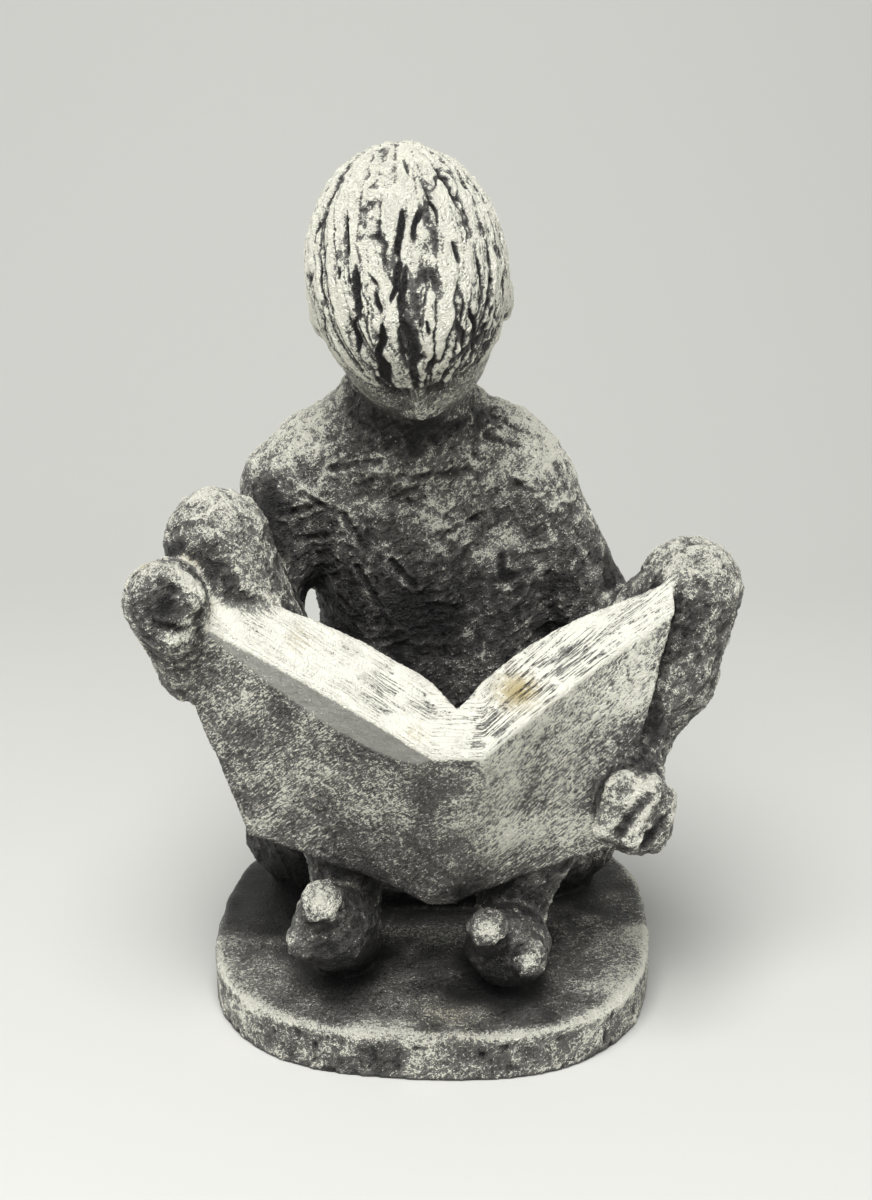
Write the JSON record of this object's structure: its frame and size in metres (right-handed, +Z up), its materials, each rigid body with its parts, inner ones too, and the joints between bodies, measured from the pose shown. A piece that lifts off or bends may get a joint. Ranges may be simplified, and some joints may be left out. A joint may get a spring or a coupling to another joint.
{
  "type": "seated reading figure sculpture",
  "caption": "Cast tabletop sculpture of a boy sitting on a low rounded slab with raised knees, bowed over an open book that he holds with both hands",
  "frame": {"origin": "middle of the slab, on its flat underside", "axes": "+Z up out of the slab, -Y toward the side that the boy and the book's covers face, +X to the right of somebody who looks at that side"},
  "size_m": [0.1718, 0.1405, 0.2578],
  "materials": {
    "silvered_black_cast_stone": "satin"
  },
  "bodies": {
    "root": {"reading_boy": "silvered_black_cast_stone"}
  },
  "joints": []
}
